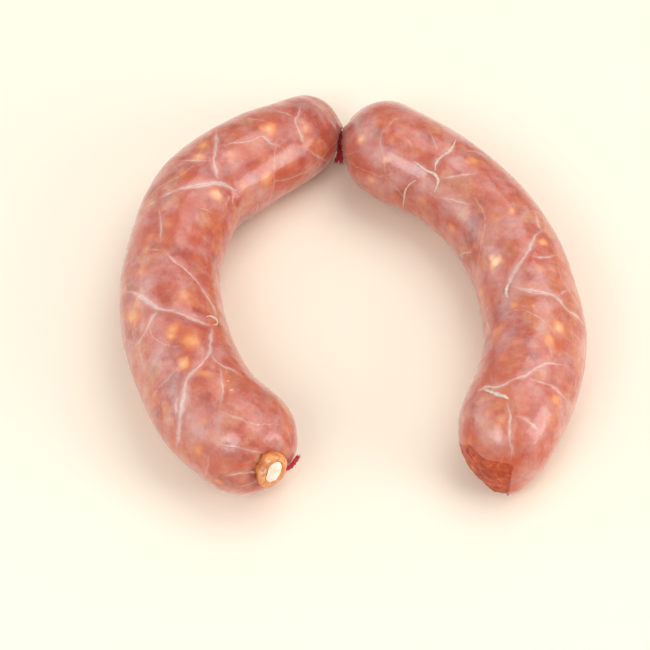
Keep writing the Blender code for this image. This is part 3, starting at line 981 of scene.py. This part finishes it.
def makeFilling():
    # the mince inside, bare and crumbly where the casing is torn
    bm = bmesh.new()
    inset = form["casing"] + form["fit"]
    rollLink(bm, right, inset, thin=2, columns=120)
    bared = [e for e in bm.edges if min(bareness(v.co) for v in e.verts) > -2.5]
    bmesh.ops.subdivide_edges(bm, edges=bared, cuts=3, use_grid_fill=True)
    bm.normal_update()
    coarse, coarseHeight = tear["crumb"]
    fine, fineHeight = tear["fineCrumb"]
    moves = []
    for vert in bm.verts:
        depth = bareness(vert.co)
        bare = clamped((depth + 0.5) / 0.6)
        spot = vert.co / (coarse * mm)
        spot += 0.3 * noise.noise_vector(vert.co / (2.0 * mm))
        crumb = coarseHeight * (0.5 - noise.voronoi(spot)[0][0])
        crumb += fineHeight * noise.noise(vert.co / (fine * mm))
        crumb *= min(1.0, max(0.15, depth / 1.5))   # flatter beside the casing
        moves.append(bare * (inset - tear["under"] + crumb))
    for vert, rise in zip(bm.verts, moves):
        vert.co += vert.normal * rise * mm
        vert.co.z = max(vert.co.z, 0.0)
    finishPiece("filling", bm, bareMince, "filling_right")


makeLeftLink()
makeRightCasing()
makeFilling()

# Ties. Each string is three plies twisted round one line; a ply's radius and how far it lies
# off the line are shares of the string's radius.
stringForm = {"plies": 3, "pitch": 5.5, "plyRadius": 0.52, "plyOffset": 0.47}
# Each knot's place on its ring in degrees, and its two ends as points from the ring's middle.
neckString = {
    "knot": -40,
    "ends": [[(-0.4, -4.8, -4.6), (-1.4, -7.2, -6.6)], [(0.6, -5.2, -4.0), (0.9, -8.2, -5.4)]],
}
stubString = {
    "knot": 214,
    "ends": [[(7.9, 2.7, -4.4), (11.3, 9.4, -6.6)], [(4.4, 0.2, -3.6), (5.0, 0.4, -4.8)]],
}
knotForm = {"rise": 1.6, "leans": (-0.6, 0.6), "loopRadius": 0.75, "thickness": 0.5}
loose = {"threads": 9, "radius": 0.12, "back": 0.6, "length": (0.9, 1.7), "aside": (0.1, 0.5)}


def twistString(bm, line, radius, closed=False):
    points = [Vector(p) for p in line]
    count = len(points)
    steps = ((b - a).length for a, b in zip(points, points[1:]))
    walked = list(accumulate(steps, initial=0.0))
    pitch = walked[-1] / max(1, round(walked[-1] / stringForm["pitch"]))
    frames = []
    side = None
    for k, point in enumerate(points):
        before = points[k - 1] if k else (points[-2] if closed else point)
        after = points[k + 1] if k < count - 1 else (points[1] if closed else point)
        along = (after - before).normalized()
        if side is None:
            side = along.orthogonal().normalized()
        side = (side - side.dot(along) * along).normalized()
        frames.append((point, side, along.cross(side)))
    for ply in range(stringForm["plies"]):
        spread = 2 * pi * ply / stringForm["plies"]
        centres = []
        for (point, out, up), way in zip(frames, walked):
            angle = spread + 2 * pi * way / pitch
            offset = radius * stringForm["plyOffset"] * (cos(angle) * out + sin(angle) * up)
            centres.append(point + offset)

        def place(row, angle, centres=centres):
            point, out, up = frames[row]
            size = radius * stringForm["plyRadius"]
            if not closed:
                size *= sqrt(clamped(min(row, count - 1 - row) / 2))
            return centres[row] + size * (cos(angle) * out + sin(angle) * up)

        rollSheet(bm, count - 1, 8, place)


def ringLine(centre, way, radius, count=48):
    return [ringPoint((centre, way, radius), 2 * pi * k / count) for k in range(count + 1)]


def makeTie(name, centre, way, neck, plan, node):
    bm = bmesh.new()
    thick = form["string"] / 2
    neck += form["fit"]
    twistString(bm, ringLine(centre, way, neck + thick), thick, closed=True)
    knot = ringPoint((centre, way, neck + knotForm["rise"]), radians(plan["knot"]))
    out = (knot - centre).normalized()
    across = out.cross(way)
    for lean in knotForm["leans"]:
        loop = ringLine(knot, (across + lean * out).normalized(), knotForm["loopRadius"], 20)
        twistString(bm, loop, knotForm["thickness"], closed=True)
    for end in plan["ends"]:
        line = smoothLine([knot] + [centre + Vector(p) for p in end], 0.4)
        twistString(bm, line, thick)
        fray(bm, line[-1], (line[-1] - line[-3]).normalized(), thick)
    finishPiece(name, bm, redString, node)


def fray(bm, tip, way, radius):
    # loose cotton ends
    dice = random.Random(5)
    side = way.orthogonal().normalized()
    for _ in range(loose["threads"]):
        off = Matrix.Rotation(dice.uniform(0, 2 * pi), 3, way) @ side
        start = tip + off * radius * dice.uniform(0.2, 0.8) - way * loose["back"]
        end = start + way * dice.uniform(*loose["length"]) + off * dice.uniform(*loose["aside"])
        line = [start.lerp(end, k / 4) for k in range(5)]

        def place(row, angle, line=line):
            size = loose["radius"] * (1 - row / 5)
            return line[row] + size * (cos(angle) * off + sin(angle) * way.cross(off))

        rollSheet(bm, 4, 5, place)


def makeTwist():
    # the casing twisted inside the knot
    bm = bmesh.new()
    start, stop = leftTie.base - leftTie.way, rightTie.base - rightTie.way
    rows = 24

    def place(row, angle):
        radius = form["neckRadius"] * (1 + 0.18 * cos(5 * (angle + 0.35 * row)))   # 5 ribs
        if row in (0, rows):
            radius = 0.0
        centre = start.lerp(stop, row / rows)
        return ringPoint((centre, across, radius), angle)

    rollSheet(bm, rows, 30, place)
    finishPiece("casingTwist", bm, stubMeat, "link_left")


stub = {
    "radius": 6.5,
    "oval": (0.17, 122),    # how much longer it is than round, and which way, degrees
    "depth": 2.4,
    "fatRadius": 3.4,
    "fatDepth": 1.6,
    "pleats": 5,
    "skirt": (0.4, 4.8),    # how near to the link and how far out the gathers reach back
    "lean": (1.0, 225),     # how far and which way the outer part lies off the middle
    "fatLean": (0.45, 180),
}


def offMiddle(angle, lean):
    shift, way = lean
    return shift * cos(angle - radians(way))


def lathe(bm, steps, columns, wobble):
    # steps are distances beyond the stub's tie and radii
    base, way = stubTie.base, stubTie.way

    def place(row, angle):
        along, radius = steps[row]
        lift, spread = wobble(row, angle)
        longer, turn = stub["oval"]
        spread += longer * radius * cos(2 * (angle - radians(turn)))
        return ringPoint((base + way * (along + lift), way, radius), angle, spread)

    rollSheet(bm, len(steps) - 1, columns, place)


def makeStub():
    # gathered casing beyond the tie, cut across
    room = form["stubRoom"]
    rim = room + stub["depth"]
    outer, inner = stub["radius"], stub["fatRadius"] + form["fit"]
    back, under = stub["skirt"]
    steps = [(-2.0, 0.0), (-2.0, form["stubNeckRadius"]), (room - 0.1, form["stubNeckRadius"]),
             (room, 3.4), (room - 0.3, under - 0.1), (back + 0.3, under),
             (back, under + 0.3), (back + 0.2, under + 0.6), (room - 1.3, outer - 0.75),
             (room - 0.5, outer - 0.4), (room + 0.3, outer - 0.2), (room + 1.0, outer - 0.2),
             (rim - 0.6, outer - 0.4), (rim - 0.15, outer - 0.8), (rim + 0.1, outer - 1.4),
             (rim + 0.2, outer - 2.0), (rim + 0.1, inner + 0.25), (rim - 0.1, inner + 0.1),
             (rim - 0.4, inner), (rim - stub["fatDepth"], inner), (rim - stub["fatDepth"], 0.0)]

    def wobble(row, angle):
        share = clamped((steps[row][1] - 2.6) / 2.0)
        around = Vector((1.6 * cos(angle), 1.6 * sin(angle), 0.4 * steps[row][1]))
        pleat = 0.12 * sin(stub["pleats"] * angle + 1.5 * sin(2 * angle))
        spread = share * (pleat + 0.6 * noise.noise(around))
        spread += clamped((row - 7) / 4) * offMiddle(angle, stub["lean"])
        if row > 15:
            spread = offMiddle(angle, stub["fatLean"])
        return 0.5 * share * noise.noise(around + Vector((7, 0, 0))), spread

    bm = bmesh.new()
    lathe(bm, steps, 96, wobble)
    finishPiece("stub", bm, stubMeat, "link_left")


def makeStubFat():
    rim = form["stubRoom"] + stub["depth"]
    floor = rim - stub["fatDepth"] + form["fit"]
    size = stub["fatRadius"]
    steps = [(floor, 0.0), (floor, size), (rim - 0.4, size), (rim + 0.15, size + 0.1),
             (rim + 0.25, size + 0.45), (rim + 0.4, size + 0.4), (rim + 0.6, size - 0.1),
             (rim + 0.75, 0.7 * size), (rim + 0.8, 0.4 * size), (rim + 0.8, 0.0)]

    def wobble(row, angle):
        top = 1.0 if steps[row][0] > rim else 0.0
        around = Vector((cos(angle), sin(angle), 0)) * steps[row][1]
        spread = (offMiddle(angle, stub["fatLean"]) * min(1.0, steps[row][1])
                  + top * 0.5 * noise.noise(Vector((1.3 * cos(angle), 1.3 * sin(angle), 5))))
        return top * 0.3 * noise.noise(around / 1.6), spread

    bm = bmesh.new()
    lathe(bm, steps, 48, wobble)
    finishPiece("stubFat", bm, whiteFat, "stub_fat")


makeStub()
makeStubFat()
makeTwist()
makeTie("neckString", (leftTie.base + rightTie.base) / 2, across, form["neckRadius"], neckString,
        "string_neck")
stubTurn = form["stubRoom"] - form["fit"] - form["string"] / 2
makeTie("stubString", stubTie.base + stubTie.way * stubTurn, stubTie.way,
        form["stubNeckRadius"], stubString, "string_stub")

# The top that the links lie on, and soft studio light. Each lamp is a box given by its azimuth,
# elevation and distance, its width and height, how bright its face is, and how much more of it
# shows in wet gloss alone, coolly, as in the photograph.
studio = {
    "top": "#faeeda",
    "sky": 0.47,
    "lamps": {
        "leftBox": (164, 27, 1.2, 0.84, 0.7, 0.8, 7.5),
        "leftFrontBox": (-157, 26, 1.2, 0.84, 0.62, 0.75, 8.0),
        "frontBox": (-122, 47, 1.2, 0.6, 0.54, 3.7, 7.0),
        "rightBox": (-15, 23, 1.2, 0.62, 0.66, 4.2, 2.4),
        "overhead": (45, 64, 1.5, 1.4, 1.1, 2.2, 0.8),
    },
    "coolGloss": (0.6, 0.95, 1.0),
}


def makeTop():
    bm = bmesh.new()
    bmesh.ops.create_grid(bm, x_segments=2, y_segments=2, size=3.0)
    bmesh.ops.translate(bm, vec=(0, 0, -0.05 * mm), verts=bm.verts)
    mesh = bpy.data.meshes.new("top")
    bm.to_mesh(mesh)
    bm.free()
    made, tree = startMaterial("pale matt top")
    shader = addNode(tree, "BsdfPrincipled", {"Base Color": linear(studio["top"]),
                                              "Roughness": 0.8, "Specular IOR Level": 0.3})
    addNode(tree, "OutputMaterial", {"Surface": shader.outputs[0]})
    mesh.materials.append(made)
    top = bpy.data.objects.new("top", mesh)
    bpy.context.collection.objects.link(top)


def addLamp(name, place, brightness, glossOnly=False):
    azimuth, elevation, distance, width, height = place
    data = bpy.data.lights.new(name, "AREA")
    data.shape = "RECTANGLE"
    data.size, data.size_y = width, height
    data.energy = brightness * pi * width * height
    lamp = bpy.data.objects.new(name, data)
    if glossOnly:
        data.color = studio["coolGloss"]
        lamp.visible_diffuse = False
    turn, lift = radians(azimuth), radians(elevation)
    place = distance * Vector((cos(turn) * cos(lift), sin(turn) * cos(lift), sin(lift)))
    lamp.location = place
    lamp.rotation_euler = place.to_track_quat("Z", "Y").to_euler()
    bpy.context.collection.objects.link(lamp)


def makeStudio():
    makeTop()
    for name, (*place, brightness, gloss) in studio["lamps"].items():
        addLamp(name, place, brightness)
        if gloss:
            addLamp(name + "Gloss", place, gloss, glossOnly=True)
    world = bpy.data.worlds.new("soft sky")
    world.use_nodes = True
    sky = world.node_tree.nodes["Background"]
    sky.inputs["Color"].default_value = (1, 1, 1, 1)
    sky.inputs["Strength"].default_value = studio["sky"]
    bpy.context.scene.world = world
    bpy.context.scene.view_settings.view_transform = "Standard"


makeStudio()
print("studio ready")
